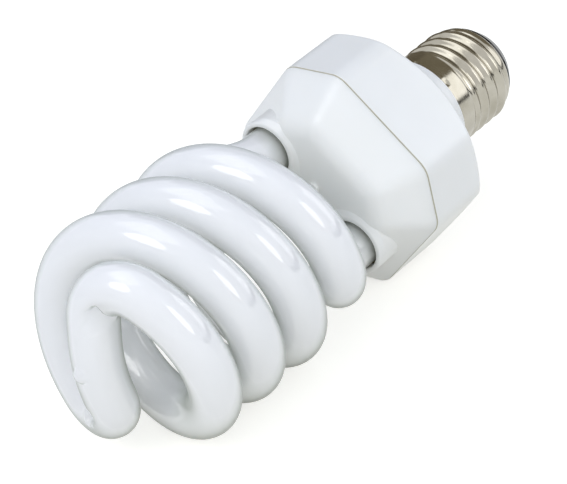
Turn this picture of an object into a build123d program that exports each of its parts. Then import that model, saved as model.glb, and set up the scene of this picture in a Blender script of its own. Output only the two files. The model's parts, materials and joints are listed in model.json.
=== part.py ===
from build123d import *
import math
import os

os.makedirs("parts", exist_ok=True)

# Discharge tube: two strands of one glass tube wound round the lamp's axis.
# Its spans are odd in number, so that none ends in the middle of the bridge.
tube_r = 6.0
tube_spans = 11
span_sections = 11
coil_r = 23.3
coil_pitch = 30.0
coil_ref_z = 77.76
coil_ref_deg = 82.8
bridge_r = 8.3
bridge_z = 84.6
bridge_lead_a = 15.0
bridge_lead_b = 7.0
nub_r = 2.1
nub_h = 1.2
leg_offset = 15.4
leg_top_z = 14.5
leg_end_z = 1.0
elbow_deg = 36.0
pinch_w = 8.4
pinch_t = 2.6
pinch_h = 3.4

# Case: a square with cut corners, cut round by its shoulder
case_flat = 26.35
case_cut = coil_r + tube_r
case_corner = 6.0
case_wall = 1.9
rim_r = 27.9
rim_z = 18.7
rim_round = 0.9
collar_r = 14.3
collar_top_z = 29.6
collar_h = 2.8
neck_r = 12.6
neck_bore_r = 10.8
neck_h = 5.0
seam_chamfer = 0.25

# Tube holder: sloping faces from the seam to a rounded end with two sleeves
holder_end_z = 10.4
holder_end_flat = 17.2
holder_end_cut = 19.6
holder_end_corner = 4.0
holder_end_round = 7.5
sleeve_r = 7.9
sleeve_bore_r = 6.6
sleeve_mouth_z = 11.1
boss_r = 10.0
boss_z = 9.6
sleeve_root_z = 1.6
sleeve_round = 0.5
lip_gap = 0.35
lip_end_z = 2.0
tab_count = 4
tab_w = 8.0
lip_wall = 1.5
lip_root_z = 1.2
holder_wall = 2.6
pip_r = 1.5
pip_h = 0.9
pip_x = -1.0
pip_y = 3.4
cement_root_z = 2.0
cement_top_z = 8.6
cement_gap = 0.1

# Screw cap: rolled sheet shell, glass insulator and pressed centre contact
thread_pitch = 3.63
thread_major_r = 13.2
thread_minor_r = 12.2
shell_t = 0.3
skirt_r = 13.05
skirt_h = 5.6
thread_run_in = 2.2
thread_run_out = 1.4
curl_r = 12.3
curl_bend_r = 1.6
shell_h = 23.8
thread_phase_deg = 60.0
punch_count = 8
punch_deg = 43.5
punch_h = 1.6
punch_r = 0.8
punch_depth = 0.2
stations_per_turn = 10
insulator_gap = 0.1
flange_w = 0.5
insulator_h = 3.1
insulator_step_h = 2.0
insulator_step_r = 9.2
insulator_back_h = 2.8
contact_r = 4.8
contact_rim = 0.6
contact_h = 0.9
contact_pin_r = 1.2
contact_pin_h = 8.3

# Circuit board and what it carries
board_z = 6.6
board_t = 1.6
board_gap = 0.85
rib_count = 4
rib_t = 1.6
rib_reach_r = 22.2
rib_root_r = 26.2
rib_end_z = 16.0
wire_r = 0.3
lead_r = 0.25
post_r = 0.45
wire_deg = 120.0
groove_length = 3.4
fit = 0.02
post_above = 3.0
post_below = 1.4
post_x = 2.2
post_y = 4.5
can_r = 5.0
can_h = 19.0
can_y = 1.0
can_round = 0.6
choke_y = -13.2
choke_w = 15.0
choke_h = 13.0
choke_t = 5.0
choke_leg = 2.2
hub_wall = 0.9
cheek_w = 10.4
cheek_t = 0.8
winding_w = 9.6
ring_y = 13.5
ring_r = 5.0
ring_bore_r = 2.5
ring_h = 4.5
ring_wire = 0.6
ring_coil_deg = 50.0
film_x = 11.5
film_y = 12.0
film_w = 9.0
film_t = 5.0
film_h = 9.0
chip_x = 12.5
chip_y = -6.0
chip_t = 3.2
chip_w = 8.0
chip_h = 11.0
diode_r = 1.35
diode_l = 5.2
fuse_x = 12.4
fuse_y = -15.0
fuse_r = 1.8
fuse_l = 7.8
live_r = 0.6
solder_gap = 0.1
live_x = 4.5
live_y = 7.5
neutral_foot_r = 8.7
lead_above = 1.6
diode_places = [(17.6, -5), (20.6, -4), (-17.6, -5), (-20.6, -4)]

collar_end_z = collar_top_z + collar_h
neck_end_z = collar_end_z + neck_h
thread_start_z = collar_end_z + skirt_h
thread_full_z = thread_start_z + thread_run_in
punch_z = collar_end_z + punch_h
shell_end_z = collar_end_z + shell_h
board_r = case_flat - case_wall - board_gap
lip_hole_r = curl_r - curl_bend_r
curl_start_z = shell_end_z - curl_bend_r
thread_last_z = curl_start_z - thread_run_out
insulator_end_z = shell_end_z + insulator_h
insulator_step_z = shell_end_z + insulator_step_h
insulator_back_z = shell_end_z - insulator_back_h
contact_back_z = insulator_end_z - contact_pin_h
insulator_r = lip_hole_r - insulator_gap
flange_r = lip_hole_r + flange_w
flange_end_z = shell_end_z - shell_t - 2 * insulator_gap
lip_flat = case_flat - case_wall - lip_gap
boss_x = leg_offset + sleeve_r - boss_r
lip_cut = case_cut - case_wall - lip_gap
pinch_end_z = leg_end_z - pinch_h
parts_z = board_z + board_t
post_places = [(leg_offset - post_x, post_y), (leg_offset + post_x, post_y),
               (-leg_offset - post_x, post_y), (-leg_offset + post_x, post_y)]
tip_z = bridge_z + tube_r + nub_h
cap_z = insulator_end_z + contact_h
rest_h = coil_r + tube_r

# The lamp lies on one cut face of its case; its own axis runs from the cap to the tip
lamp = Plane(origin=((tip_z - cap_z) / 2, 0, rest_h), x_dir=(0, -1, -1), z_dir=(-1, 0, 0))
lamp_axis = Axis(lamp.origin, lamp.z_dir)
half_section = Plane(origin=lamp.origin, x_dir=lamp.x_dir, z_dir=-lamp.y_dir)


def case_corners(flat, cut):
    """Corners of a square with cut corners, from the distances of its sides and cuts to the axis."""
    side = cut * math.sqrt(2) - flat
    return [(flat, -side), (flat, side), (side, flat), (-side, flat),
            (-flat, side), (-flat, -side), (-side, -flat), (side, -flat)]


def coil_point(deg, strand):
    """Point of a strand's helix, turned by an angle from its reference point."""
    turn = math.radians(coil_ref_deg + 180 * strand - deg)
    return Vector(coil_r * math.cos(turn), coil_r * math.sin(turn), coil_ref_z - coil_pitch * deg / 360)


def tip_arc(lead, strand):
    """Centre of the tight arc where a strand leaves its helix for the bridge."""
    turn = math.radians(coil_ref_deg + 180 * strand + lead)
    return Vector((coil_r - bridge_r) * math.cos(turn), (coil_r - bridge_r) * math.sin(turn), 0)


def tip_half(lead, strand, arc, middle):
    """Points from the middle of the bridge to the strand's helix, level in the middle."""
    away = arc - middle
    swing = math.asin(bridge_r / away.length)
    heading = math.atan2(away.Y, away.X) + swing
    run = math.sqrt(away.length ** 2 - bridge_r ** 2)
    turned = math.radians(coil_ref_deg + 180 * strand + lead)
    start = heading + math.pi / 2
    sweep_angle = (start - turned) % (2 * math.pi)
    length = run + bridge_r * sweep_angle
    slope = coil_pitch / (2 * math.pi * coil_r)
    drop = bridge_z - coil_point(-lead, strand).Z
    points = []
    for i in range(12):
        s = length * i / 12
        if s < run:
            flat_point = middle + Vector(math.cos(heading), math.sin(heading), 0) * s
        else:
            angle = start - (s - run) / bridge_r
            flat_point = arc + Vector(math.cos(angle), math.sin(angle), 0) * bridge_r
        k = s / length
        z = bridge_z - drop * (3 * k ** 2 - 2 * k ** 3) - slope * length * (k ** 3 - k ** 2)
        points.append(Vector(flat_point.X, flat_point.Y, z))
    return points


def strand_points(lead, strand, leg_deg):
    """Points of a strand from the end of its tip arc down the coil, round the elbow and along its leg."""
    points = []
    end_deg = leg_deg - elbow_deg
    count = 36
    for i in range(count + 1):
        points.append(coil_point(-lead + (end_deg + lead) * i / count, strand))
    begin = points[-1]
    turn = math.radians(coil_ref_deg + 180 * strand - leg_deg)
    foot = Vector(leg_offset * math.cos(turn), leg_offset * math.sin(turn), leg_top_z)
    heading = turn + math.radians(elbow_deg) - math.pi / 2
    chord = Vector(foot.X - begin.X, foot.Y - begin.Y, 0)
    swing = (heading - math.atan2(chord.Y, chord.X)) % (2 * math.pi)
    bend_r = chord.length / (2 * math.sin(swing))
    centre = Vector(begin.X, begin.Y, 0) + Vector(math.sin(heading), -math.cos(heading), 0) * bend_r
    fall = begin.Z - foot.Z
    slope = coil_pitch / (2 * math.pi * coil_r)
    lean = math.atan(slope * bend_r * 2 * swing / fall)
    for i in range(1, 8):
        k = lean + (math.pi / 2 - lean) * i / 7
        part_way = (math.sin(k) - math.sin(lean)) / (1 - math.sin(lean))
        angle = heading + math.pi / 2 - 2 * swing * part_way
        z = begin.Z - fall * (math.cos(lean) - math.cos(k)) / math.cos(lean)
        points.append(Vector(centre.X + bend_r * math.cos(angle), centre.Y + bend_r * math.sin(angle), z))
    for i in range(1, 4):
        points.append(foot - Vector(0, 0, (leg_top_z - leg_end_z) * i / 3))
    return points


leg_deg = 540 + coil_ref_deg
arc_a = tip_arc(bridge_lead_a, 0)
arc_b = tip_arc(bridge_lead_b, 1)
bridge_mid = (arc_a + arc_b) * 0.5
half_a = tip_half(bridge_lead_a, 0, arc_a, bridge_mid)
half_b = tip_half(bridge_lead_b, 1, arc_b, bridge_mid)
line_a = half_a + strand_points(bridge_lead_a, 0, leg_deg)
line_b = half_b[1:] + strand_points(bridge_lead_b, 1, leg_deg)
centre_line = [tuple(point) for point in list(reversed(line_a)) + line_b]

with BuildPart() as discharge_tube:
    with BuildLine(lamp) as winding:
        Spline(*centre_line)
    path = winding.edge()
    across = lamp.x_dir
    sections = tube_spans * span_sections
    leg_share = (leg_top_z - leg_end_z) / path.length
    for span in range(tube_spans):
        for i in range(span * span_sections, (span + 1) * span_sections + 1):
            k = leg_share + (1 - 2 * leg_share) * i / sections
            place = path @ k
            tangent = path % k
            if i in (0, sections):
                side = -1 if i == 0 else 1
                place = lamp.from_local_coords((side * leg_offset, 0, leg_top_z))
                tangent = lamp.z_dir * -side
            across = (across - tangent * across.dot(tangent)).normalized()
            with BuildSketch(Plane(origin=place, x_dir=across, z_dir=tangent)):
                Circle(tube_r)
        loft(clean=False)
    # Straight legs
    with BuildSketch(lamp.offset(leg_end_z)):
        with Locations((leg_offset, 0), (-leg_offset, 0)):
            Circle(tube_r)
    extrude(amount=leg_top_z - leg_end_z)
    # Cold spot drawn up on the bridge
    with Locations(lamp.offset(tip_z - nub_r).location * Location((bridge_mid.X, bridge_mid.Y, 0))):
        Sphere(nub_r)
    # Pinched ends where the leads pass through the glass
    with BuildSketch(lamp.offset(leg_end_z)):
        with Locations((leg_offset, 0), (-leg_offset, 0)):
            Rectangle(pinch_w, pinch_t)
    extrude(amount=-pinch_h)
discharge_tube.part.label = "discharge_tube"
export_step(discharge_tube.part, "parts/discharge_tube.step")

with BuildPart() as tube_holder:
    with BuildSketch(lamp) as outline:
        Polygon(*case_corners(case_flat, case_cut), align=None)
        fillet(outline.vertices(), case_corner)
    with BuildSketch(lamp.offset(holder_end_z)) as outline:
        Polygon(*case_corners(holder_end_flat, holder_end_cut), align=None)
        fillet(outline.vertices(), holder_end_corner)
    loft(ruled=True)
    fillet(tube_holder.faces().sort_by(lamp_axis)[-1].edges(), holder_end_round)
    chamfer(tube_holder.faces().sort_by(lamp_axis)[0].edges(), seam_chamfer)
    # Hollow inside
    with BuildSketch(lamp) as outline:
        Polygon(*case_corners(case_flat - holder_wall, case_cut - holder_wall), align=None)
        fillet(outline.vertices(), case_corner - case_wall)
    with BuildSketch(lamp.offset(holder_end_z - case_wall)) as outline:
        Polygon(*case_corners(holder_end_flat - holder_wall, holder_end_cut - holder_wall), align=None)
        fillet(outline.vertices(), holder_end_corner - case_wall)
    loft(ruled=True, mode=Mode.SUBTRACT)
    # Lip that slides into the ballast housing, with tabs that press on the board
    with BuildSketch(lamp.offset(lip_root_z)) as outline:
        Polygon(*case_corners(lip_flat, lip_cut), align=None)
        fillet(outline.vertices(), case_corner - case_wall)
        offset(amount=-lip_wall, mode=Mode.SUBTRACT)
    extrude(amount=-lip_root_z - lip_end_z)
    with BuildSketch(lamp.offset(lip_root_z)):
        with PolarLocations(lip_flat - lip_wall / 2, tab_count):
            Rectangle(lip_wall, tab_w)
    extrude(amount=-lip_root_z - board_z)
    # Sleeves that take the legs of the tube, each on a boss that flares towards the axis
    for side in (-1, 1):
        with BuildSketch(lamp.offset(sleeve_root_z)):
            with Locations((side * boss_x, 0)):
                Circle(boss_r)
        extrude(amount=boss_z - sleeve_root_z)
        with BuildSketch(lamp.offset(boss_z)):
            with Locations((side * boss_x, 0)):
                Circle(boss_r)
        with BuildSketch(lamp.offset(sleeve_mouth_z)):
            with Locations((side * leg_offset, 0)):
                Circle(sleeve_r)
        loft(ruled=True)
    with BuildSketch(lamp):
        with Locations((leg_offset, 0), (-leg_offset, 0)):
            Circle(sleeve_bore_r)
    extrude(amount=sleeve_mouth_z, mode=Mode.SUBTRACT)
    fillet(tube_holder.faces().sort_by(lamp_axis)[-2:].edges(), sleeve_round)
    # Moulded pip between the sleeves
    with BuildSketch(lamp.offset(holder_end_z - case_wall / 2)):
        with Locations((pip_x, pip_y)):
            Circle(pip_r)
    extrude(amount=case_wall / 2 + pip_h)
tube_holder.part.label = "tube_holder"
export_step(tube_holder.part, "parts/tube_holder.step")

with BuildPart() as tube_cement:
    with BuildSketch(lamp.offset(cement_root_z)):
        with Locations((leg_offset, 0), (-leg_offset, 0)):
            Circle(sleeve_bore_r - fit)
            Circle(tube_r + cement_gap, mode=Mode.SUBTRACT)
    extrude(amount=cement_top_z - cement_root_z)
tube_cement.part.label = "tube_cement"
export_step(tube_cement.part, "parts/tube_cement.step")

shoulder_slope = math.atan2(collar_top_z - rim_z, rim_r - collar_r)
shoulder_lift = case_wall / math.cos(shoulder_slope)
corner_r = math.hypot(case_flat, case_cut * math.sqrt(2) - case_flat)


def shoulder_z(radius):
    """Height of the shoulder's cone at a distance from the axis."""
    return rim_z + (rim_r - radius) * math.tan(shoulder_slope)


room_z = shoulder_z(corner_r) - shoulder_lift
inner_neck_z = shoulder_z(neck_bore_r) - shoulder_lift

with BuildPart() as ballast_housing:
    with BuildSketch(lamp) as outline:
        Polygon(*case_corners(case_flat, case_cut), align=None)
        fillet(outline.vertices(), case_corner)
    extrude(amount=-neck_end_z)
    # Shoulder that cuts the faces to arcs, then the collar and the neck that carries the cap
    with BuildSketch(half_section):
        with BuildLine():
            Polyline((0, 0), (corner_r, 0), (corner_r, -shoulder_z(corner_r)), (collar_r, -collar_top_z),
                     (collar_r, -collar_end_z), (neck_r, -collar_end_z), (neck_r, -neck_end_z),
                     (0, -neck_end_z), close=True)
        make_face()
    revolve(axis=lamp_axis, mode=Mode.INTERSECT)
    fillet(ballast_housing.edges().filter_by_position(lamp_axis, -shoulder_z(case_flat) - fit,
                                                      -shoulder_z(corner_r) + fit), rim_round)
    chamfer(ballast_housing.faces().sort_by(lamp_axis)[-1].edges(), seam_chamfer)
    # Room for the ballast
    with BuildSketch(lamp) as outline:
        Polygon(*case_corners(case_flat - case_wall, case_cut - case_wall), align=None)
        fillet(outline.vertices(), case_corner - case_wall)
    extrude(amount=-room_z, mode=Mode.SUBTRACT)
    with BuildSketch(half_section):
        with BuildLine():
            Polyline((0, -room_z / 2), (board_r, -room_z / 2), (board_r, shoulder_lift - shoulder_z(board_r)),
                     (neck_bore_r, -inner_neck_z), (neck_bore_r, -neck_end_z), (0, -neck_end_z), close=True)
        make_face()
    revolve(axis=lamp_axis, mode=Mode.SUBTRACT)
    # Ribs under the edge of the board
    with BuildSketch(lamp.offset(-board_z - board_t)):
        with PolarLocations((rib_reach_r + rib_root_r) / 2, rib_count):
            Rectangle(rib_root_r - rib_reach_r, rib_t)
    extrude(amount=board_z + board_t - rib_end_z)
    # Groove for the wire that is trapped under the skirt
    with BuildSketch(lamp.offset(-neck_end_z)):
        with PolarLocations(neck_r, 1, start_angle=wire_deg):
            Rectangle(4 * wire_r, 2.6 * wire_r)
    extrude(amount=groove_length, mode=Mode.SUBTRACT)
ballast_housing.part.label = "ballast_housing"
export_step(ballast_housing.part, "parts/ballast_housing.step")

# Eccentric circles that turn once a pitch; together they are the rolled thread
mean_r = (thread_major_r + thread_minor_r) / 2
depth = (thread_major_r - thread_minor_r) / 2
turns = (curl_start_z - thread_start_z) / thread_pitch
thread_spans = math.ceil(turns)
span_rows = round(turns * stations_per_turn / thread_spans)
stations = thread_spans * span_rows
thread_rows = []
for i in range(stations + 1):
    station_z = thread_start_z + (curl_start_z - thread_start_z) * i / stations
    grown = min(1, (station_z - thread_start_z) / (thread_full_z - thread_start_z))
    faded = max(0, (station_z - thread_last_z) / (curl_start_z - thread_last_z))
    grown = grown ** 2 * (3 - 2 * grown)
    faded = faded ** 2 * (3 - 2 * faded)
    radius = mean_r + (skirt_r - mean_r) * (1 - grown) + (curl_r - mean_r) * faded
    turn = math.radians(thread_phase_deg - 360 * station_z / thread_pitch)
    shift = depth * grown * (1 - faded)
    thread_rows.append((station_z, radius, (shift * math.cos(turn), shift * math.sin(turn))))

punch_planes = []
for i in range(punch_count):
    outward = lamp.x_dir.rotate(Axis((0, 0, 0), lamp.z_dir), punch_deg + 360 * i / punch_count)
    place = lamp.offset(-punch_z).origin + outward * (skirt_r + fit)
    punch_planes.append(Plane(origin=place, x_dir=lamp.z_dir, z_dir=outward))

with BuildPart() as screw_shell:
    # Rolled thread, with the same form inside at one sheet's thickness
    for span in range(thread_spans):
        for station_z, radius, middle in thread_rows[span * span_rows:(span + 1) * span_rows + 1]:
            with BuildSketch(lamp.offset(-station_z)):
                with Locations(middle):
                    Circle(radius)
        loft(clean=False)
    for span in range(thread_spans):
        for station_z, radius, middle in thread_rows[span * span_rows:(span + 1) * span_rows + 1]:
            with BuildSketch(lamp.offset(-station_z)):
                with Locations(middle):
                    Circle(radius - shell_t)
        loft(mode=Mode.SUBTRACT, clean=False)
    # Plain skirt
    with BuildSketch(lamp.offset(-thread_start_z)):
        Circle(skirt_r)
        Circle(skirt_r - shell_t, mode=Mode.SUBTRACT)
    extrude(amount=thread_start_z - collar_end_z, clean=False)
    # Edge curled in over the insulator
    with BuildSketch(half_section):
        with BuildLine():
            CenterArc((lip_hole_r, -curl_start_z), curl_bend_r, -90, 90)
            CenterArc((lip_hole_r, -curl_start_z), curl_bend_r - shell_t, -90, 90)
            Line((lip_hole_r, -shell_end_z), (lip_hole_r, -shell_end_z + shell_t))
            Line((curl_r, -curl_start_z), (curl_r - shell_t, -curl_start_z))
        make_face()
    revolve(axis=lamp_axis, clean=False)
    # Punch marks that stake the skirt to the neck
    with BuildSketch(*punch_planes):
        Circle(punch_r)
    extrude(amount=-punch_depth, taper=45, mode=Mode.SUBTRACT, clean=False)
screw_shell.part.label = "screw_shell"
export_step(screw_shell.part, "parts/screw_shell.step")

with BuildPart() as cap_insulator:
    with BuildSketch(half_section):
        with BuildLine():
            Polyline((contact_pin_r + fit, -insulator_back_z), (flange_r, -insulator_back_z),
                     (flange_r, -flange_end_z), (insulator_r, -flange_end_z), (insulator_r, -shell_end_z),
                     (insulator_step_r, -insulator_step_z), (contact_r + contact_rim, -insulator_end_z),
                     (contact_pin_r + fit, -insulator_end_z), close=True)
        make_face()
    revolve(axis=lamp_axis)
cap_insulator.part.label = "cap_insulator"
export_step(cap_insulator.part, "parts/cap_insulator.step")

with BuildPart() as centre_contact:
    with BuildSketch(lamp.offset(-cap_z)):
        Circle(contact_r)
    extrude(amount=contact_h)
    fillet(centre_contact.faces().sort_by(lamp_axis)[0].edges(), contact_h * 0.4)
    with BuildSketch(lamp.offset(-insulator_end_z)):
        Circle(contact_pin_r)
    extrude(amount=insulator_end_z - contact_back_z)
centre_contact.part.label = "centre_contact"
export_step(centre_contact.part, "parts/centre_contact.step")

with BuildPart() as circuit_board:
    with BuildSketch(lamp.offset(-board_z)):
        Circle(board_r)
        with Locations(*post_places):
            Circle(post_r + fit, mode=Mode.SUBTRACT)
    extrude(amount=-board_t)
circuit_board.part.label = "circuit_board"
export_step(circuit_board.part, "parts/circuit_board.step")

with BuildPart() as filament_posts:
    with BuildSketch(lamp.offset(-board_z + post_above)):
        with Locations(*post_places):
            Circle(post_r)
    extrude(amount=-post_above - board_t - post_below)
filament_posts.part.label = "filament_posts"
export_step(filament_posts.part, "parts/filament_posts.step")

with BuildPart() as filament_leads:
    # Down from each pinch, then across to touch its post
    for place_x, place_y in post_places:
        with BuildSketch(lamp.offset(pinch_end_z)):
            with Locations((place_x, 0)):
                Circle(lead_r)
        extrude(amount=-board_z + lead_above - pinch_end_z)
        with Locations(lamp.offset(-board_z + lead_above).location * Location((place_x, 0, 0))):
            Sphere(lead_r)
        across_plane = Plane(origin=lamp.from_local_coords((place_x, 0, -board_z + lead_above)),
                             x_dir=lamp.x_dir, z_dir=lamp.y_dir)
        with BuildSketch(across_plane):
            Circle(lead_r)
        extrude(amount=place_y - post_r - fit)
filament_leads.part.label = "filament_leads"
export_step(filament_leads.part, "parts/filament_leads.step")

with BuildPart() as electrolytic_capacitor:
    with BuildSketch(lamp.offset(-parts_z)):
        with Locations((0, can_y)):
            Circle(can_r)
    extrude(amount=-can_h)
    fillet(electrolytic_capacitor.faces().sort_by(lamp_axis)[0].edges(), can_round)
electrolytic_capacitor.part.label = "electrolytic_capacitor"
export_step(electrolytic_capacitor.part, "parts/electrolytic_capacitor.step")

with BuildPart() as choke_core:
    with BuildSketch(Plane(origin=lamp.from_local_coords((0, choke_y, -parts_z - choke_h / 2)),
                           x_dir=lamp.x_dir, z_dir=lamp.y_dir)):
        Rectangle(choke_w, choke_h)
        Rectangle(choke_w - 2 * choke_leg, choke_h - 2 * choke_leg, mode=Mode.SUBTRACT)
        Rectangle(choke_t, choke_h)
    extrude(amount=choke_t / 2, both=True)
choke_core.part.label = "choke_core"
export_step(choke_core.part, "parts/choke_core.step")

window_h = choke_h - 2 * choke_leg
hub_w = choke_t + 2 * fit + 2 * hub_wall

with BuildPart() as choke_bobbin:
    with BuildSketch(lamp.offset(-parts_z - choke_leg - fit)):
        with Locations((0, choke_y)):
            Rectangle(cheek_w, cheek_w)
    extrude(amount=-cheek_t)
    with BuildSketch(lamp.offset(-parts_z - choke_leg - fit)):
        with Locations((0, choke_y)):
            Rectangle(hub_w, hub_w)
    extrude(amount=-window_h + 2 * fit)
    with BuildSketch(lamp.offset(-parts_z - choke_leg - window_h + fit)):
        with Locations((0, choke_y)):
            Rectangle(cheek_w, cheek_w)
    extrude(amount=cheek_t)
    with BuildSketch(lamp.offset(-parts_z)):
        with Locations((0, choke_y)):
            Rectangle(choke_t + 2 * fit, choke_t + 2 * fit)
    extrude(amount=-choke_h, mode=Mode.SUBTRACT)
choke_bobbin.part.label = "choke_bobbin"
export_step(choke_bobbin.part, "parts/choke_bobbin.step")

with BuildPart() as choke_winding:
    with BuildSketch(lamp.offset(-parts_z - choke_leg - cheek_t - 2 * fit)):
        with Locations((0, choke_y)):
            RectangleRounded(winding_w, winding_w, 1.2)
            Rectangle(hub_w + 2 * fit, hub_w + 2 * fit, mode=Mode.SUBTRACT)
    extrude(amount=-window_h + 2 * cheek_t + 4 * fit)
choke_winding.part.label = "choke_winding"
export_step(choke_winding.part, "parts/choke_winding.step")

with BuildPart() as ring_core:
    with BuildSketch(lamp.offset(-parts_z - ring_wire - fit)):
        with Locations((0, ring_y)):
            Circle(ring_r)
            Circle(ring_bore_r, mode=Mode.SUBTRACT)
    extrude(amount=-ring_h)
ring_core.part.label = "ring_core"
export_step(ring_core.part, "parts/ring_core.step")

ring_origin = lamp.from_local_coords((0, ring_y, -parts_z - ring_wire - fit - ring_h / 2))

with BuildPart() as ring_windings:
    for turn in (0, 120, 240):
        spoke = lamp.x_dir.rotate(Axis((0, 0, 0), lamp.z_dir), turn)
        with BuildSketch(Plane(origin=ring_origin, x_dir=spoke, z_dir=spoke.cross(lamp.z_dir))):
            with Locations(((ring_r + ring_bore_r) / 2, 0)):
                Rectangle(ring_r - ring_bore_r + 2 * fit + 2 * ring_wire, ring_h + 2 * fit + 2 * ring_wire)
                Rectangle(ring_r - ring_bore_r + 2 * fit, ring_h + 2 * fit, mode=Mode.SUBTRACT)
        revolve(axis=Axis(ring_origin, lamp.z_dir), revolution_arc=ring_coil_deg)
ring_windings.part.label = "ring_windings"
export_step(ring_windings.part, "parts/ring_windings.step")

with BuildPart() as resonant_capacitor:
    with BuildSketch(lamp.offset(-parts_z)):
        with Locations((film_x, film_y)):
            RectangleRounded(film_w, film_t, 0.8)
    extrude(amount=-film_h)
resonant_capacitor.part.label = "resonant_capacitor"
export_step(resonant_capacitor.part, "parts/resonant_capacitor.step")

with BuildPart() as coupling_capacitor:
    with BuildSketch(lamp.offset(-parts_z)):
        with Locations((-film_x, film_y)):
            RectangleRounded(film_w, film_t, 0.8)
    extrude(amount=-film_h)
coupling_capacitor.part.label = "coupling_capacitor"
export_step(coupling_capacitor.part, "parts/coupling_capacitor.step")

with BuildPart() as switching_transistors:
    with BuildSketch(lamp.offset(-parts_z)):
        with Locations((chip_x, chip_y), (-chip_x, chip_y)):
            Rectangle(chip_t, chip_w)
    extrude(amount=-chip_h)
switching_transistors.part.label = "switching_transistors"
export_step(switching_transistors.part, "parts/switching_transistors.step")

with BuildPart() as rectifier_diodes:
    for diode_x, diode_y in diode_places:
        with BuildSketch(Plane(origin=lamp.from_local_coords((diode_x, diode_y, -parts_z - diode_r)),
                               x_dir=lamp.x_dir, z_dir=lamp.y_dir)):
            Circle(diode_r)
        extrude(amount=diode_l / 2, both=True)
rectifier_diodes.part.label = "rectifier_diodes"
export_step(rectifier_diodes.part, "parts/rectifier_diodes.step")

with BuildPart() as fuse_resistor:
    with BuildSketch(Plane(origin=lamp.from_local_coords((fuse_x, fuse_y, -parts_z - fuse_r)),
                           x_dir=lamp.y_dir, z_dir=lamp.x_dir)):
        Circle(fuse_r)
    extrude(amount=fuse_l / 2, both=True)
    fillet(fuse_resistor.edges(), 0.4)
fuse_resistor.part.label = "fuse_resistor"
export_step(fuse_resistor.part, "parts/fuse_resistor.step")

with BuildPart() as live_wire:
    with BuildLine(lamp) as live_run:
        Spline((live_x, live_y, -parts_z - solder_gap), (live_x, live_y, -parts_z - 3),
               (live_x, live_y, -parts_z - 8), (live_x, live_y, -inner_neck_z + 6),
               (live_x * 0.8, live_y * 0.8, -neck_end_z + 2), (0, 0, -contact_back_z + 4),
               (0, 0, -contact_back_z + 2), (0, 0, -contact_back_z + solder_gap))
    with BuildSketch(Plane(origin=live_run.edge() @ 0, z_dir=live_run.edge() % 0)):
        Circle(live_r)
    sweep(path=live_run.edge())
live_wire.part.label = "live_wire"
export_step(live_wire.part, "parts/live_wire.step")

# The neutral wire runs up the neck's bore, over its edge and back down under the skirt
wire_plane = Plane(origin=lamp.origin, x_dir=lamp.x_dir.rotate(Axis((0, 0, 0), lamp.z_dir), wire_deg),
                   z_dir=lamp.x_dir.rotate(Axis((0, 0, 0), lamp.z_dir), wire_deg).cross(lamp.z_dir))
bore_run_r = neck_bore_r - wire_r - 2 * fit
skirt_run_r = skirt_r - shell_t - wire_r - 2 * fit
over_z = neck_end_z + wire_r + 2 * fit

with BuildPart() as neutral_wire:
    with BuildLine(wire_plane) as neutral_run:
        Polyline((neutral_foot_r, -parts_z - solder_gap), (neutral_foot_r, -inner_neck_z + 3),
                 (bore_run_r, -inner_neck_z - 2), (bore_run_r, -over_z), (skirt_run_r, -over_z),
                 (skirt_run_r, -neck_end_z + groove_length - 2 * wire_r))
    with BuildSketch(Plane(origin=neutral_run.wire() @ 0, z_dir=neutral_run.wire() % 0)):
        Circle(wire_r)
    sweep(path=neutral_run.wire(), transition=Transition.ROUND)
neutral_wire.part.label = "neutral_wire"
export_step(neutral_wire.part, "parts/neutral_wire.step")
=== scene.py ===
"""Dresses a spiral screw-cap lamp: coated glass, moulded case, plated cap, floor, light and camera."""
import json
import logging
import math
from dataclasses import dataclass, field
from enum import Enum

import bmesh
import bpy
from mathutils import Matrix, Quaternion, Vector


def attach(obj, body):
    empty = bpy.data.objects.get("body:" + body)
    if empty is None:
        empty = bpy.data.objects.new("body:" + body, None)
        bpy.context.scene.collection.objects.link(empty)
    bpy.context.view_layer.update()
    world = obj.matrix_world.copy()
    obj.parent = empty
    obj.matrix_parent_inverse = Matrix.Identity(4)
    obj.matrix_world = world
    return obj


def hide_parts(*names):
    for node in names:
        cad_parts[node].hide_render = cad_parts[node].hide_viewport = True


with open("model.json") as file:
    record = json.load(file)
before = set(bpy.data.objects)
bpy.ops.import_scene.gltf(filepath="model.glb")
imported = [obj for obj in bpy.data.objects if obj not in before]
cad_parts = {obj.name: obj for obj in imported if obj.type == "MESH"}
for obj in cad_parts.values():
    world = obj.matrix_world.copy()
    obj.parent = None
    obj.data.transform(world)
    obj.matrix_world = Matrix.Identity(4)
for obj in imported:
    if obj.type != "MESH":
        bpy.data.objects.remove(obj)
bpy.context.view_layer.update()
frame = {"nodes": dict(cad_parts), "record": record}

LOG = logging.getLogger("spiral_lamp")
MM = 0.001
BODY = "root"
IMAGE_WIDTH = 567
# Most values of a noise texture lie between these two
NOISE_LOW = 0.3
NOISE_HIGH = 0.7


def linear(code: str, alpha: float = 1.0) -> tuple[float, float, float, float]:
    """Turns an sRGB hex code into a linear colour.

    Args:
        code: Colour such as "#F0F0F0".
        alpha: Fourth value of the result.

    Returns:
        Linear red, green, blue and alpha.
    """
    parts = [int(code[i:i + 2], 16) / 255 for i in (1, 3, 5)]
    red, green, blue = [p / 12.92 if p <= 0.04045 else ((p + 0.055) / 1.055) ** 2.4 for p in parts]
    return red, green, blue, alpha


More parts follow.
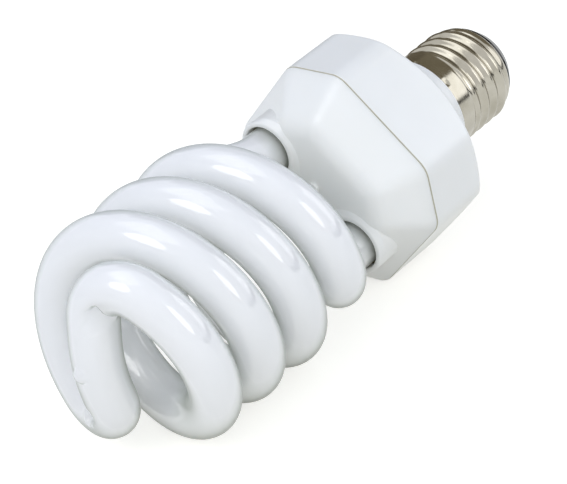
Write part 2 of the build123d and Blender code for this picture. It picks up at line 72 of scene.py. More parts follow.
def add_node(tree: bpy.types.NodeTree, kind: str, settings: dict | None = None,
             links: dict | None = None) -> bpy.types.Node:
    """Adds a node with its settings and its incoming links.

    Args:
        tree: Node tree that gets the node.
        kind: Blender's type name of the node.
        settings: Values by socket name or number, or by property name.
        links: Output sockets of other nodes by the socket name or number that they feed.

    Returns:
        The new node.
    """
    node = tree.nodes.new(kind)
    for name, value in (settings or {}).items():
        if isinstance(name, str) and name not in node.inputs:
            setattr(node, name, value)
        else:
            node.inputs[name].default_value = value
    for name, source in (links or {}).items():
        tree.links.new(source, node.inputs[name])
    return node


def noise(tree: bpy.types.NodeTree, place: bpy.types.NodeSocket, length: float,
          detail: float) -> bpy.types.NodeSocket:
    """Adds a cloudy pattern.

    Args:
        tree: Node tree that gets the pattern.
        place: Coordinates, in metres.
        length: Size of the pattern's features in millimetres.
        detail: Number of finer layers.

    Returns:
        Socket with the pattern's value.
    """
    settings = {"Scale": 1 / (length * MM), "Detail": detail}
    return add_node(tree, "ShaderNodeTexNoise", settings, {"Vector": place}).outputs[0]


def ramp(tree: bpy.types.NodeTree, source: bpy.types.NodeSocket, start: float, end: float, low: float,
         high: float) -> bpy.types.NodeSocket:
    """Carries a range of values over to another range, held at both ends.

    Args:
        tree: Node tree that gets the node.
        source: Socket with the value.
        start: Value that becomes low.
        end: Value that becomes high.
        low: First value of the result.
        high: Last value of the result.

    Returns:
        Socket with the result.
    """
    return add_node(tree, "ShaderNodeMapRange", {1: start, 2: end, 3: low, 4: high}, {0: source}).outputs[0]


def blend(tree: bpy.types.NodeTree, factor: bpy.types.NodeSocket, first: str | bpy.types.NodeSocket,
          second: str) -> bpy.types.NodeSocket:
    """Mixes two colours.

    Args:
        tree: Node tree that gets the node.
        factor: Socket with the share of the second colour.
        first: Hex code, or a socket with a colour.
        second: Hex code.

    Returns:
        Socket with the mixed colour.
    """
    settings = {"data_type": "RGBA", 7: linear(second)}
    links = {0: factor}
    if isinstance(first, str):
        settings[6] = linear(first)
    else:
        links[6] = first
    return add_node(tree, "ShaderNodeMix", settings, links).outputs[2]


@dataclass
class Surface:
    """An empty node material with its object coordinates."""

    name: str
    material: bpy.types.Material = field(init=False)
    tree: bpy.types.NodeTree = field(init=False)
    output: bpy.types.Node = field(init=False)
    place: bpy.types.NodeSocket = field(init=False)

    def __post_init__(self) -> None:
        """Makes the material, its output and its coordinates."""
        self.material = bpy.data.materials.new(self.name)
        self.material.use_nodes = True
        self.tree = self.material.node_tree
        self.tree.nodes.clear()
        self.output = add_node(self.tree, "ShaderNodeOutputMaterial")
        self.place = add_node(self.tree, "ShaderNodeTexCoord").outputs["Object"]

    def close(self, shader: bpy.types.Node) -> bpy.types.Material:
        """Links the last shader to the output and returns the material."""
        self.tree.links.new(shader.outputs[0], self.output.inputs["Surface"])
        return self.material


@dataclass(frozen=True)
class LampAxes:
    """The lamp's own frame: z runs along its axis, from the seam of the case to the glass tip."""

    seam_x: float = 15.8
    height: float = 29.3

    def matrix(self) -> Matrix:
        """Gives the way from the lamp's frame to the part's frame.

        Returns:
            Matrix that takes millimetres to metres.
        """
        half = math.sqrt(0.5)
        turn = Matrix(((0, 0, -1), (-half, -half, 0), (-half, half, 0)))
        return Matrix.Translation(Vector((self.seam_x, 0, self.height)) * MM) @ (turn * MM).to_4x4()


AXES = LampAxes()


def finish_piece(name: str, mesh: bmesh.types.BMesh, nodes: tuple[str, ...]) -> bpy.types.Object:
    """Moves a mesh from the lamp's frame to the part's frame and makes it a piece.

    Args:
        name: Name of the piece.
        mesh: Mesh in the lamp's frame, in millimetres.
        nodes: CAD nodes that the piece stands for.

    Returns:
        The object, which rides on the lamp's one body.
    """
    bmesh.ops.transform(mesh, matrix=AXES.matrix(), verts=mesh.verts)
    bmesh.ops.recalc_face_normals(mesh, faces=mesh.faces)
    for face in mesh.faces:
        face.smooth = True
    data = bpy.data.meshes.new(name)
    mesh.to_mesh(data)
    mesh.free()
    piece = bpy.data.objects.new(name, data)
    bpy.context.scene.collection.objects.link(piece)
    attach(piece, BODY)
    if nodes:
        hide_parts(*nodes)
    LOG.info("%s: %d faces", name, len(data.polygons))
    return piece


def extrude_ring(mesh: bmesh.types.BMesh, edges: list[bmesh.types.BMEdge]) -> tuple[list, list]:
    """Draws a new ring of vertices out of an open edge.

    Args:
        mesh: Mesh with the open edge.
        edges: Edges of the open end.

    Returns:
        Vertices and edges of the new ring, which still lies on the old one.
    """
    made = bmesh.ops.extrude_edge_only(mesh, edges=edges)["geom"]
    verts = [g for g in made if isinstance(g, bmesh.types.BMVert)]
    return verts, [g for g in made if isinstance(g, bmesh.types.BMEdge) and g.is_boundary]


def smooth_step(share: float) -> float:
    """Eases a share between 0 and 1 in and out."""
    return share ** 2 * (3 - 2 * share)


def clamp(value: float) -> float:
    """Holds a value between 0 and 1."""
    return min(1.0, max(0.0, value))


@dataclass(frozen=True)
class CoatedGlass:
    """Drawn lamp glass with white lamp powder on its inner wall: milky, under a clear wet-looking gloss."""

    name: str = "powder_coated_lamp_glass"
    powder: str = "#F7F9F6"
    powder_shade: str = "#EAEEEC"
    cloud: float = 9.0
    cloud_mix: float = 0.06
    # Grey of the painted edge shade, where the surface is seen edge-on
    edge: str = "#85887A"
    edge_from: float = 0.52
    edge_full: float = 0.8
    edge_mix: float = 0.7
    # Grey of the bare glass and of the painted shade where the legs meet their sleeves
    bare_and_shade: str = "#A9ABA2"
    bare_and_shade_from_x: float = 0.2
    bare_and_shade_full_x: float = 4.6
    bare_and_shade_mix: float = 0.8
    gloss_to: float = 0.58
    gloss_end: float = 0.85
    gloss_left: float = 0.12
    light_depth: float = 20.0

    def material(self) -> bpy.types.Material:
        """Builds the material.

        Returns:
            The material.
        """
        surface = Surface(self.name)
        tree = surface.tree
        tone = ramp(tree, noise(tree, surface.place, self.cloud, 3), NOISE_LOW, NOISE_HIGH,
                    0.0, self.cloud_mix)
        powder = blend(tree, tone, self.powder, self.powder_shade)
        # Painted shade, in part: the base colour turns grey where the surface is seen edge-on, for the clear
        # wall seen edge-on and the dimmer light through it there
        facing = add_node(tree, "ShaderNodeLayerWeight", {"Blend": 0.5}).outputs["Facing"]
        edge_shade = ramp(tree, facing, self.edge_from, self.edge_full, 0.0, self.edge_mix)
        edge_shaded = blend(tree, edge_shade, powder, self.edge)
        # The powder thins out where the legs go into their sleeves, and painted shade darkens the legs where
        # they meet the sleeves
        along = add_node(tree, "ShaderNodeSeparateXYZ", None, {0: surface.place}).outputs["X"]
        thin_and_shaded = ramp(tree, along, self.bare_and_shade_from_x * MM, self.bare_and_shade_full_x * MM, 0.0, self.bare_and_shade_mix)
        colour = blend(tree, thin_and_shaded, edge_shaded, self.bare_and_shade)
        # Edge-on the gloss gives way to the view through the wall
        gloss = ramp(tree, facing, self.gloss_to, self.gloss_end, 1.0, self.gloss_left)
        settings = {"Roughness": 0.5, "Specular IOR Level": 0.0, "Coat Roughness": 0.05, "Coat IOR": 1.8,
                    "Subsurface Weight": 1.0, "Subsurface Radius": (1.0, 1.0, 1.0),
                    "Subsurface Scale": self.light_depth * MM}
        return surface.close(add_node(tree, "ShaderNodeBsdfPrincipled", settings,
                                      {"Base Color": colour, "Coat Weight": gloss}))


@dataclass(frozen=True)
class MouldedPlastic:
    """White moulded plastic: satin, with the faint grain that the mould leaves."""

    name: str = "white_moulded_pbt"
    colour: str = "#F7F7F3"
    shade: str = "#F1F1EB"
    cloud: float = 14.0
    cloud_low: float = 0.35
    cloud_high: float = 0.65
    cloud_mix: float = 0.25
    # Colour of the painted shade in the seam's groove
    seam: str = "#A79F80"
    seam_half: float = 0.22
    seam_core: float = 0.6
    seam_mix: float = 0.8
    grain: float = 0.35
    grain_height: float = 0.02
    light_depth: float = 3.0

    def material(self) -> bpy.types.Material:
        """Builds the material.

        Returns:
            The material.
        """
        surface = Surface(self.name)
        tree = surface.tree
        tone = ramp(tree, noise(tree, surface.place, self.cloud, 2), self.cloud_low, self.cloud_high,
                    0.0, self.cloud_mix)
        colour = blend(tree, tone, self.colour, self.shade)
        # Painted shade: a dark line in the groove where the two mouldings meet
        along = add_node(tree, "ShaderNodeSeparateXYZ", None, {0: surface.place}).outputs["X"]
        off = add_node(tree, "ShaderNodeMath", {"operation": "SUBTRACT", 1: AXES.seam_x * MM}, {0: along})
        away = add_node(tree, "ShaderNodeMath", {"operation": "ABSOLUTE"}, {0: off.outputs[0]})
        seam_shade = ramp(tree, away.outputs[0], self.seam_core * self.seam_half * MM, self.seam_half * MM,
                    self.seam_mix, 0.0)
        seam_shaded = blend(tree, seam_shade, colour, self.seam)
        bump = add_node(tree, "ShaderNodeBump", {"Strength": 0.1, "Distance": self.grain_height * MM},
                        {"Height": noise(tree, surface.place, self.grain, 2)})
        settings = {"Roughness": 0.3, "IOR": 1.5, "Subsurface Weight": 0.25,
                    "Subsurface Radius": (1.0, 0.95, 0.9), "Subsurface Scale": self.light_depth * MM}
        return surface.close(add_node(tree, "ShaderNodeBsdfPrincipled", settings,
                                      {"Base Color": seam_shaded, "Normal": bump.outputs[0]}))


@dataclass(frozen=True)
class PlatedBrass:
    """Rolled brass sheet under bright nickel: warm grey metal with fine marks round the axis."""

    name: str = "nickel_plated_brass"
    colour: str = "#B8B4A9"
    worn: str = "#9C9788"
    cloud: float = 5.0
    cloud_low: float = 0.35
    worn_mix: float = 0.6
    marks: float = 0.25
    marks_stretch: float = 0.04
    marks_height: float = 0.01
    smoothest: float = 0.13
    roughest: float = 0.22

    def material(self) -> bpy.types.Material:
        """Builds the material.

        Returns:
            The material.
        """
        surface = Surface(self.name)
        tree = surface.tree
        tone = ramp(tree, noise(tree, surface.place, self.cloud, 4), self.cloud_low, NOISE_HIGH,
                    0.0, self.worn_mix)
        colour = blend(tree, tone, self.colour, self.worn)
        stretch = add_node(tree, "ShaderNodeMapping",
                           {"Scale": (1.0, self.marks_stretch, self.marks_stretch)},
                           {"Vector": surface.place})
        lines = noise(tree, stretch.outputs[0], self.marks, 3)
        rough = ramp(tree, lines, NOISE_LOW, NOISE_HIGH, self.smoothest, self.roughest)
        bump = add_node(tree, "ShaderNodeBump", {"Strength": 0.1, "Distance": self.marks_height * MM},
                        {"Height": lines})
        return surface.close(add_node(tree, "ShaderNodeBsdfPrincipled", {"Metallic": 1.0},
                                      {"Base Color": colour, "Roughness": rough, "Normal": bump.outputs[0]}))


@dataclass(frozen=True)
class PlainFinish:
    """A small or hidden piece's finish: one colour with a soft cloud in tone and gloss."""

    name: str
    colour: str
    shade: str
    roughness: float
    metallic: float = 0.0
    grain: float = 1.5
    rough_spread: float = 0.12

    def material(self) -> bpy.types.Material:
        """Builds the material.

        Returns:
            The material.
        """
        surface = Surface(self.name)
        tree = surface.tree
        cloud = noise(tree, surface.place, self.grain, 3)
        tone = ramp(tree, cloud, NOISE_LOW, NOISE_HIGH, 0.0, 1.0)
        rough = ramp(tree, cloud, NOISE_LOW, NOISE_HIGH, self.roughness, self.roughness + self.rough_spread)
        return surface.close(add_node(tree, "ShaderNodeBsdfPrincipled", {"Metallic": self.metallic},
                                      {"Base Color": blend(tree, tone, self.colour, self.shade),
                                       "Roughness": rough}))


class Strand(Enum):
    """The two halves of the tube, which start half a turn apart."""

    NEAR = 0
    FAR = 1


@dataclass(frozen=True)
class PinchStep:
    """One step in the closing of a leg's end, against the tube's radius."""

    width: float
    thickness: float
    drop: float


@dataclass
class SpiralTube:
    """One glass tube wound as a double spiral, with a bridge at the tip and two straight legs."""

    tube_r: float = 6.0
    coil_r: float = 23.3
    pitch: float = 30.0
    ref_z: float = 77.76
    ref_deg: float = 82.8
    coil_deg: float = 540.0
    bridge_r: float = 8.3
    bridge_z: float = 84.6
    lead_near: float = 15.0
    lead_far: float = 7.0
    nub_h: float = 1.2
    nub_r: float = 2.1
    nub_blend: float = 0.4
    nub_fall: float = 3.0
    fold_r: float = 7.6
    fold_depth: float = 3.6
    fold_from_deg: float = 48.0
    fold_full_deg: float = 51.0
    fold_to_deg: float = 140.0
    leg_offset: float = 15.4
    leg_top_z: float = 14.5
    leg_end_z: float = 1.0
    elbow_deg: float = 36.0
    pinch_steps: tuple[PinchStep, ...] = (PinchStep(1.0, 1.0, 0.3), PinchStep(0.9, 0.6, 0.4),
                                          PinchStep(0.7, 0.217, 0.6), PinchStep(0.7, 0.217, 2.1))
    ring_points: int = 72
    tip_steps: int = 84
    coil_steps: int = 150
    elbow_steps: int = 26

    def lead(self, strand: Strand) -> float:
        """Angle by which a strand's coil runs on past its reference point."""
        return self.lead_near if strand is Strand.NEAR else self.lead_far

    def start_turn(self, strand: Strand) -> float:
        """Direction of a strand's reference point, in degrees."""
        return self.ref_deg + 180 * strand.value

    def slope(self) -> float:
        """Rise of the helix for each unit of length round the coil."""
        return self.pitch / (2 * math.pi * self.coil_r)

    def coil_point(self, deg: float, strand: Strand) -> Vector:
        """Point of a strand's helix, turned by an angle from its reference point."""
        turn = math.radians(self.start_turn(strand) - deg)
        return Vector((self.coil_r * math.cos(turn), self.coil_r * math.sin(turn),
                       self.ref_z - self.pitch * deg / 360))

    def tip_centre(self, strand: Strand) -> Vector:
        """Centre of the tight arc where a strand leaves its helix for the bridge."""
        turn = math.radians(self.start_turn(strand) + self.lead(strand))
        return Vector((math.cos(turn), math.sin(turn), 0)) * (self.coil_r - self.bridge_r)

    def bridge_middle(self) -> Vector:
        """Middle of the bridge, in plan."""
        return (self.tip_centre(Strand.NEAR) + self.tip_centre(Strand.FAR)) / 2

    def tip_points(self, strand: Strand) -> list[Vector]:
        """Centre line from the middle of the bridge to a strand's helix.

        Args:
            strand: Half of the tube.

        Returns:
            Points in the lamp's frame, the helix's own first point left out.
        """
        middle = self.bridge_middle()
        arc = self.tip_centre(strand)
        lead = self.lead(strand)
        away = arc - middle
        heading = math.atan2(away.y, away.x) + math.asin(self.bridge_r / away.length)
        run = math.sqrt(away.length ** 2 - self.bridge_r ** 2)
        start = heading + math.pi / 2
        swept = (start - math.radians(self.start_turn(strand) + lead)) % (2 * math.pi)
        length = run + self.bridge_r * swept
        drop = self.bridge_z - self.coil_point(-lead, strand).z
        points = []
        for i in range(self.tip_steps):
            s = length * i / self.tip_steps
            if s < run:
                spot = middle + Vector((math.cos(heading), math.sin(heading), 0)) * s
            else:
                angle = start - (s - run) / self.bridge_r
                spot = arc + Vector((math.cos(angle), math.sin(angle), 0)) * self.bridge_r
            # The height leaves the bridge level and meets the helix at its slope
            k = s / length
            spot.z = self.bridge_z - drop * smooth_step(k) - self.slope() * length * (k ** 3 - k ** 2)
            points.append(spot)
        return points

    def strand_points(self, strand: Strand) -> list[Vector]:
        """Centre line of a strand down its coil, round the elbow and along its leg.

        Args:
            strand: Half of the tube.

        Returns:
            Points in the lamp's frame.
        """
        leg_deg = self.coil_deg + self.ref_deg
        lead = self.lead(strand)
        end_deg = leg_deg - self.elbow_deg
        points = [self.coil_point(-lead + (end_deg + lead) * i / self.coil_steps, strand)
                  for i in range(self.coil_steps + 1)]
        begin = points[-1]
        turn = math.radians(self.start_turn(strand) - leg_deg)
        foot = Vector((self.leg_offset * math.cos(turn), self.leg_offset * math.sin(turn), self.leg_top_z))
        # In plan the elbow is one arc from the end of the coil to the leg
        heading = turn + math.radians(self.elbow_deg) - math.pi / 2
        chord = Vector((foot.x - begin.x, foot.y - begin.y, 0))
        swing = (heading - math.atan2(chord.y, chord.x)) % (2 * math.pi)
        bend_r = chord.length / (2 * math.sin(swing))
        centre = Vector((begin.x + bend_r * math.sin(heading), begin.y - bend_r * math.cos(heading), 0))
        fall = begin.z - foot.z
        lean = math.atan(self.slope() * bend_r * 2 * swing / fall)
        for i in range(1, self.elbow_steps + 1):
            k = lean + (math.pi / 2 - lean) * i / self.elbow_steps
            part_way = (math.sin(k) - math.sin(lean)) / (1 - math.sin(lean))
            angle = heading + math.pi / 2 - 2 * swing * part_way
            points.append(Vector((centre.x + bend_r * math.cos(angle), centre.y + bend_r * math.sin(angle),
                                  begin.z - fall * (math.cos(lean) - math.cos(k)) / math.cos(lean))))
        points.append(foot - Vector((0, 0, (self.leg_top_z - self.leg_end_z) / 2)))
        points.append(foot - Vector((0, 0, self.leg_top_z - self.leg_end_z)))
        return points

    def centre_line(self) -> list[Vector]:
        """Whole centre line, from the end of one leg over the bridge to the end of the other.

        Returns:
            Points in the lamp's frame.
        """
        near = self.tip_points(Strand.NEAR) + self.strand_points(Strand.NEAR)
        far = self.tip_points(Strand.FAR)[1:] + self.strand_points(Strand.FAR)
        return list(reversed(near)) + far

    def build(self) -> bpy.types.Object:
        """Builds the tube by carrying a ring along its centre line.

        Returns:
            The tube's piece.
        """
        line = self.centre_line()
        last = len(line) - 1
        tangents = [(line[min(i + 1, last)] - line[max(i - 1, 0)]).normalized() for i in range(len(line))]
        mesh = bmesh.new()
        ring = bmesh.ops.create_circle(mesh, cap_ends=False, segments=self.ring_points,
                                       radius=self.tube_r)["verts"]
        first_ring = list(ring)
        turn = Vector((0, 0, 1)).rotation_difference(tangents[0])
        pose = Matrix.Translation(line[0]) @ turn.to_matrix().to_4x4()
        bmesh.ops.transform(mesh, matrix=pose, verts=ring)
        edges = list(mesh.edges)
        for i in range(1, len(line)):
            ring, edges = extrude_ring(mesh, edges)
            turn = tangents[i - 1].rotation_difference(tangents[i]).to_matrix().to_4x4()
            step = Matrix.Translation(line[i]) @ turn @ Matrix.Translation(-line[i - 1])
            bmesh.ops.transform(mesh, matrix=step, verts=ring)
        self.pinch(mesh, ring, math.copysign(1, line[-1].x))
        self.pinch(mesh, first_ring, math.copysign(1, line[0].x))
        for strand in Strand:
            self.fold(mesh, strand)
        self.draw_nub(mesh)
        return finish_piece("discharge_tube_glass", mesh, ("discharge_tube",))

    def pinch(self, mesh: bmesh.types.BMesh, ring: list[bmesh.types.BMVert], way: float) -> None:
        """Flattens and closes an end of the tube, as it is pinched round its leads.

        Args:
            mesh: Mesh of the tube.
            ring: Vertices of the open end.
            way: Sign of the end's leg along the lamp's x axis.
        """
        edges = [e for e in mesh.edges if e.is_boundary and e.verts[0] in ring and e.verts[1] in ring]
        middle = Vector((way * self.leg_offset, 0, 0))
        for step in self.pinch_steps:
            verts, edges = extrude_ring(mesh, edges)
            current_x = max(abs(v.co.x - middle.x) for v in verts)
            current_y = max(abs(v.co.y) for v in verts)
            scale = Vector((step.width * self.tube_r / current_x,
                            step.thickness * self.tube_r / current_y, 1))
            bmesh.ops.scale(mesh, vec=scale, space=Matrix.Translation(-middle), verts=verts)
            bmesh.ops.translate(mesh, vec=(0, 0, -step.drop), verts=verts)
        bmesh.ops.edgeloop_fill(mesh, edges=edges)

    def fold(self, mesh: bmesh.types.BMesh, strand: Strand) -> None:
        """Presses in the inner wall of a tight bend, where the glass folded as it was bent.

        Args:
            mesh: Mesh of the tube.
            strand: Half of the tube whose bend is folded.
        """
        arc = self.tip_centre(strand)
        begin = self.start_turn(strand) + self.lead(strand)
        for vert in mesh.verts:
            spoke = Vector((vert.co.x, vert.co.y, 0)) - arc
            height = (vert.co.z - self.bridge_z + self.tube_r / 2) / (self.tube_r / 2)
            if height <= 0 or spoke.length > self.fold_r:
                continue
            deg = (math.degrees(math.atan2(spoke.y, spoke.x)) - begin) % 360
            if not self.fold_from_deg < deg < self.fold_to_deg:
                continue
            rise = clamp((deg - self.fold_from_deg) / (self.fold_full_deg - self.fold_from_deg))
            fall = clamp((self.fold_to_deg - deg) / (self.fold_to_deg - self.fold_full_deg))
            inward = clamp(self.fold_r - spoke.length)
            vert.co.z -= self.fold_depth * clamp(height) * rise * inward * smooth_step(fall)

    def draw_nub(self, mesh: bmesh.types.BMesh) -> None:
        """Draws up the cold spot: a small dome that flows into the bridge.

        Args:
            mesh: Mesh of the tube.
        """
        middle = self.bridge_middle()
        top_z = self.bridge_z + self.tube_r + self.nub_h
        for vert in mesh.verts:
            away = (Vector((vert.co.x, vert.co.y, 0)) - middle).length
            if vert.co.z < self.bridge_z or away > self.nub_r + self.nub_blend:
                continue
            dome = top_z - self.nub_r + math.sqrt(max(0.0, self.nub_r ** 2 - away ** 2))
            dome -= max(0.0, away - self.nub_r) * self.nub_fall
            # The dome and the bridge meet in a soft hollow
            mix = clamp(0.5 + 0.5 * (dome - vert.co.z) / self.nub_blend)
            soft = vert.co.z * (1 - mix) + dome * mix + self.nub_blend * mix * (1 - mix)
            vert.co.z = min(soft, top_z)

    def dress(self, piece: bpy.types.Object) -> None:
        """Gives the tube its coated glass."""
        piece.data.materials.append(CoatedGlass().material())


@dataclass
class ScrewCap:
    """Rolled shell of the cap, with its thread, plain skirt, curled edge and punch marks."""

    pitch: float = 3.63
    major_r: float = 13.2
    minor_r: float = 12.2
    wall: float = 0.3
    skirt_r: float = 13.05
    skirt_top_z: float = 32.4
    start_z: float = 38.0
    full_z: float = 40.2
    last_z: float = 52.0
    curl_r: float = 12.3
    curl_bend: float = 1.6
    end_z: float = 55.0
    phase_deg: float = 60.0
    ring_points: int = 128
    skirt_rows: int = 24
    rows_per_turn: int = 28
    curl_steps: int = 8
    punch_count: int = 8
    punch_deg: float = 43.5
    punch_z: float = 34.0
    punch_r: float = 0.95
    punch_depth: float = 0.4

    def curl_z(self) -> float:
        """Distance from the seam at which the curled edge begins."""
        return self.end_z - self.curl_bend

    def row(self, z: float) -> tuple[float, float, float]:
        """Radius and centre of the shell's round section.

        Args:
            z: Distance from the seam, towards the cap's end.

        Returns:
            Radius, and the centre's x and y.
        """
        mean_r = (self.major_r + self.minor_r) / 2
        depth = (self.major_r - self.minor_r) / 2
        grown = smooth_step(clamp((z - self.start_z) / (self.full_z - self.start_z)))
        faded = smooth_step(clamp((z - self.last_z) / (self.curl_z() - self.last_z)))
        radius = mean_r + (self.skirt_r - mean_r) * (1 - grown) + (self.curl_r - mean_r) * faded
        turn = math.radians(self.phase_deg - 360 * z / self.pitch)
        shift = depth * grown * (1 - faded)
        return radius, shift * math.cos(turn), shift * math.sin(turn)

    def rows(self) -> list[tuple[float, float, float, float]]:
        """Sections of the skirt, the thread and the curled edge, in that order.

        Returns:
            Distance from the seam, radius, and the centre's x and y, for each section.
        """
        skirt_h = self.start_z - self.skirt_top_z
        thread_h = self.curl_z() - self.start_z
        rows = [(self.skirt_top_z + skirt_h * i / self.skirt_rows, self.skirt_r, 0.0, 0.0)
                for i in range(self.skirt_rows)]
        count = round(thread_h / self.pitch * self.rows_per_turn)
        for i in range(count + 1):
            z = self.start_z + thread_h * i / count
            rows.append((z, *self.row(z)))
        for i in range(1, self.curl_steps + 1):
            angle = math.pi / 2 * i / self.curl_steps
            rows.append((self.curl_z() + self.curl_bend * math.sin(angle),
                         self.curl_r - self.curl_bend * (1 - math.cos(angle)), 0.0, 0.0))
        return rows

    def build(self) -> bpy.types.Object:
        """Builds the shell by carrying a ring along the axis, then gives the sheet its thickness.

        Returns:
            The shell's piece.
        """
        mesh = bmesh.new()
        ring = bmesh.ops.create_circle(mesh, cap_ends=False, segments=self.ring_points, radius=1.0)["verts"]
        edges = list(mesh.edges)
        old = Matrix.Identity(4)
        for i, (z, radius, x, y) in enumerate(self.rows()):
            if i:
                ring, edges = extrude_ring(mesh, edges)
            pose = Matrix.Translation((x, y, -z)) @ Matrix.Diagonal((radius, radius, 1, 1))
            bmesh.ops.transform(mesh, matrix=pose @ old.inverted(), verts=ring)
            old = pose
        self.punch(mesh)
        bmesh.ops.recalc_face_normals(mesh, faces=mesh.faces)
        # The sheet grows inwards, so its faces have to look outwards first
        face = mesh.faces[:][0]
        middle = face.calc_center_median()
        if face.normal.dot(Vector((middle.x, middle.y, 0))) < 0:
            bmesh.ops.reverse_faces(mesh, faces=mesh.faces)
        bmesh.ops.solidify(mesh, geom=mesh.faces[:], thickness=self.wall)
        return finish_piece("screw_shell_rolled", mesh, ("screw_shell",))

    def punch(self, mesh: bmesh.types.BMesh) -> None:
        """Presses the punch marks that stake the skirt into its round wall.

        Args:
            mesh: Mesh of the shell, before it gets its thickness.
        """
        for i in range(self.punch_count):
            turn = math.radians(self.punch_deg + 360 * i / self.punch_count)
            spot = Vector((self.skirt_r * math.cos(turn), self.skirt_r * math.sin(turn), -self.punch_z))
            near = [v for v in mesh.verts if (v.co - spot).length < self.punch_r]
            for vert in near:
                depth = self.punch_depth * (1 - ((vert.co - spot).length / self.punch_r) ** 2)
                vert.co.x *= 1 - depth / self.skirt_r
                vert.co.y *= 1 - depth / self.skirt_r

    def dress(self, piece: bpy.types.Object) -> None:
        """Gives the shell its plating."""
        piece.data.materials.append(PlatedBrass().material())


@dataclass
class CadPieces:
    """The pieces that keep their CAD shape and get a finish here."""

    def finishes(self) -> dict[str, bpy.types.Material]:
        """Makes one material for each slot of the record that shows on a CAD piece.

        Returns:
            Materials by slot.
        """
        plain = {
            # The cement's tan is made darker as painted shade for the cement seen deep in the sleeves
            "cement": PlainFinish("lamp_cement", "#A8A288", "#8F886E", 0.8),
            "black_glass": PlainFinish("black_cap_glass", "#17171A", "#101012", 0.08),
            "tinned_brass": PlainFinish("tinned_brass", "#BDB8AE", "#9D988E", 0.28, 1.0),
            "tinned_steel": PlainFinish("tinned_steel", "#B8B8B4", "#9A9A96", 0.3, 1.0),
            "board_laminate": PlainFinish("resin_paper_board", "#B08A55", "#9C7845", 0.55),
            "capacitor_sleeve": PlainFinish("shrink_sleeve", "#23262F", "#1A1C22", 0.3),
            "ferrite": PlainFinish("fired_ferrite", "#3A3A3C", "#2C2C2E", 0.6),
            "bobbin_plastic": PlainFinish("bobbin_nylon", "#E4E1D8", "#D6D2C6", 0.5),
            "enamelled_copper": PlainFinish("enamelled_copper", "#B5632C", "#8E4A1E", 0.3, 1.0, 0.4),
            "film_capacitor_epoxy": PlainFinish("dipped_epoxy", "#8E2F1C", "#7A2616", 0.25),
            "black_epoxy": PlainFinish("moulded_epoxy", "#1D1D1E", "#141415", 0.5),
            "resistor_coating": PlainFinish("resistor_lacquer", "#7C9384", "#6B8274", 0.45),
            "wire_insulation": PlainFinish("wire_insulation", "#E2E2DD", "#D2D2CC", 0.4),
        }
        made = {slot: finish.material() for slot, finish in plain.items()}
        made["white_plastic"] = MouldedPlastic().material()
        return made

    def dress(self) -> None:
        """Gives each CAD piece the finish of its slot, where this script makes one."""
        made = self.finishes()
        slots = {s["node"]: s["material_slot"] for s in frame["record"]["subparts"]}
        for name, piece in frame["nodes"].items():
            material = made.get(slots[name])
            if material is None:
                continue
            piece.data.materials.clear()
            piece.data.materials.append(material)
            LOG.info("%s dressed with %s", name, material.name)


@dataclass(frozen=True)
class Softbox:
    """A soft light: place and size in metres, radiance of its face, and whether the gloss shows it."""

    name: str
    place: tuple[float, float, float]
    size: tuple[float, float]
    level: float
    mirrored: bool = True


@dataclass(frozen=True)
class Card:
    """A card that shows only as a mirror image: its place and size in metres, its colour and brightness."""

    name: str
    place: tuple[float, float, float]
    size: tuple[float, float]
    colour: str
    level: float = 1.0


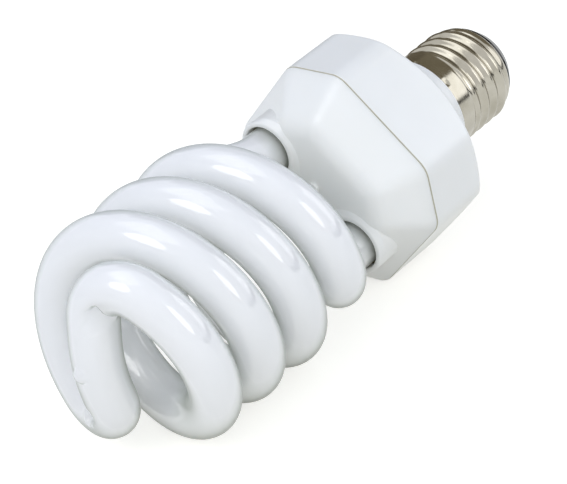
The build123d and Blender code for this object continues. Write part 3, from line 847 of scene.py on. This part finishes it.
@dataclass
class Studio:
    """Floor, light and camera, which aren't part of the lamp."""

    eye: tuple[float, float, float] = (-328.863, -358.747, 308.894)
    aim: tuple[float, float, float] = (-18.446, -12.715, 34.117)
    roll_deg: float = 14.3805
    focal_px: float = 2348.816
    sensor_mm: float = 36.0
    floor_size: float = 12.0
    floor_drop: float = 0.0002
    floor_colour: str = "#D2D0C6"
    floor_glow: float = 0.62
    fill: str = "#E4EBFA"
    fill_level: float = 0.8
    middle: tuple[float, float, float] = (0.0, 0.0, 29.0)
    cap: tuple[float, float, float] = (56.0, 0.0, 29.3)
    softboxes: tuple[Softbox, ...] = (
        Softbox("left_softbox", (-0.70, 0.04, 0.73), (0.55, 0.47), 2.5),
        Softbox("right_softbox", (-0.02, -0.93, 0.40), (0.36, 0.56), 2.3),
        Softbox("front_fill", (-0.69, -0.77, 0.61), (0.9, 0.9), 1.0, mirrored=False),
    )
    cards: tuple[Card, ...] = (
        Card("end_card", (0.203, 0.052, 0.153), (0.3, 0.25), "#8A8270"),
        Card("back_card", (0.171, 0.154, 0.083), (0.25, 0.2), "#7A7262"),
        Card("floor_strip", (0.263, -0.284, 0.002), (0.5, 0.08), "#2A2822"),
        Card("side_card", (0.170, -0.138, 0.111), (0.12, 0.14), "#FFFFFF", 2.0),
        Card("top_card", (-0.1, 0.1, 1.0), (0.9, 0.7), "#FFFFFF", 2.0),
    )

    def seen(self, tree: bpy.types.NodeTree) -> bpy.types.NodeSocket:
        """Picks out the rays that see or mirror a surface, as against those that only carry its light.

        Args:
            tree: Node tree of the surface.

        Returns:
            Socket that is 1 for camera, glossy and transmission rays.
        """
        path = add_node(tree, "ShaderNodeLightPath")
        mirrored = add_node(tree, "ShaderNodeMath", {"operation": "MAXIMUM"},
                            {0: path.outputs["Is Glossy Ray"], 1: path.outputs["Is Transmission Ray"]})
        both = add_node(tree, "ShaderNodeMath", {"operation": "MAXIMUM"},
                        {0: path.outputs["Is Camera Ray"], 1: mirrored.outputs[0]})
        return both.outputs[0]

    def floor(self) -> None:
        """Lays a pale floor that shows white and keeps the lamp's shadow."""
        mesh = bmesh.new()
        bmesh.ops.create_grid(mesh, x_segments=2, y_segments=2, size=self.floor_size / 2)
        data = bpy.data.meshes.new("floor")
        mesh.to_mesh(data)
        mesh.free()
        floor = bpy.data.objects.new("floor", data)
        floor.location.z = -self.floor_drop
        bpy.context.scene.collection.objects.link(floor)
        surface = Surface("pale_floor")
        tree = surface.tree
        diffuse = add_node(tree, "ShaderNodeBsdfDiffuse", {"Color": linear(self.floor_colour)})
        glow = add_node(tree, "ShaderNodeMath", {"operation": "MULTIPLY", 1: self.floor_glow},
                        {0: self.seen(tree)})
        light = add_node(tree, "ShaderNodeEmission", None, {"Strength": glow.outputs[0]})
        data.materials.append(surface.close(
            add_node(tree, "ShaderNodeAddShader", None, {0: diffuse.outputs[0], 1: light.outputs[0]})))

    def world(self) -> None:
        """Fills the room with even light, white where it is seen or mirrored."""
        world = bpy.data.worlds.new("studio")
        bpy.context.scene.world = world
        world.use_nodes = True
        tree = world.node_tree
        tree.nodes.clear()
        room = add_node(tree, "ShaderNodeBackground",
                        {"Color": linear(self.fill), "Strength": self.fill_level})
        white = add_node(tree, "ShaderNodeBackground", {"Color": (1, 1, 1, 1), "Strength": 1.0})
        both = add_node(tree, "ShaderNodeMixShader", None,
                        {0: self.seen(tree), 1: room.outputs[0], 2: white.outputs[0]})
        output = add_node(tree, "ShaderNodeOutputWorld")
        tree.links.new(both.outputs[0], output.inputs["Surface"])

    def hang(self, box: Softbox) -> None:
        """Hangs a soft light that points at the middle of the lamp.

        Args:
            box: The light.
        """
        light = bpy.data.lights.new(box.name, "AREA")
        light.shape = "ELLIPSE"
        light.size, light.size_y = box.size
        face_area = math.pi / 4 * box.size[0] * box.size[1]
        light.energy = box.level * math.pi * face_area
        lamp = bpy.data.objects.new(box.name, light)
        lamp.location = box.place
        lamp.rotation_mode = "QUATERNION"
        lamp.rotation_quaternion = (Vector(self.middle) * MM - Vector(box.place)).to_track_quat("-Z", "Y")
        lamp.visible_glossy = box.mirrored
        bpy.context.scene.collection.objects.link(lamp)

    def hold(self, card: Card) -> None:
        """Holds up a card that faces the cap and shows in the metal and the glass.

        Args:
            card: The card.
        """
        mesh = bmesh.new()
        bmesh.ops.create_grid(mesh, x_segments=1, y_segments=1, size=0.5)
        bmesh.ops.scale(mesh, vec=(*card.size, 1), verts=mesh.verts)
        facing = (Vector(self.cap) * MM - Vector(card.place)).to_track_quat("Z", "Y").to_matrix().to_4x4()
        bmesh.ops.transform(mesh, matrix=Matrix.Translation(card.place) @ facing, verts=mesh.verts)
        data = bpy.data.meshes.new(card.name)
        mesh.to_mesh(data)
        mesh.free()
        held = bpy.data.objects.new(card.name, data)
        bpy.context.scene.collection.objects.link(held)
        held.visible_camera = False
        held.visible_diffuse = False
        held.visible_shadow = False
        held.visible_transmission = False
        surface = Surface(card.name)
        settings = {"Color": linear(card.colour), "Strength": card.level}
        data.materials.append(surface.close(add_node(surface.tree, "ShaderNodeEmission", settings)))

    def camera(self) -> None:
        """Sets the camera at the photograph's viewing angle."""
        data = bpy.data.cameras.new("camera")
        data.sensor_fit = "HORIZONTAL"
        data.sensor_width = self.sensor_mm
        data.lens = self.focal_px * self.sensor_mm / IMAGE_WIDTH
        data.clip_start = 0.01
        data.clip_end = 50
        camera = bpy.data.objects.new("camera", data)
        eye = Vector(self.eye) * MM
        facing = (Vector(self.aim) * MM - eye).to_track_quat("-Z", "Y")
        camera.location = eye
        camera.rotation_mode = "QUATERNION"
        camera.rotation_quaternion = facing @ Quaternion((0, 0, 1), math.radians(-self.roll_deg))
        bpy.context.scene.collection.objects.link(camera)
        bpy.context.scene.camera = camera

    def build(self) -> None:
        """Sets up the whole studio."""
        self.floor()
        self.world()
        for box in self.softboxes:
            self.hang(box)
        for card in self.cards:
            self.hold(card)
        self.camera()
        bpy.context.scene.view_settings.view_transform = "Standard"


def main() -> None:
    """Builds and dresses the lamp, then the studio."""
    logging.basicConfig(level=logging.INFO, format="%(name)s: %(message)s")
    CadPieces().dress()
    tube = SpiralTube()
    tube.dress(tube.build())
    cap = ScrewCap()
    cap.dress(cap.build())
    Studio().build()


if __name__ == "__main__":
    main()
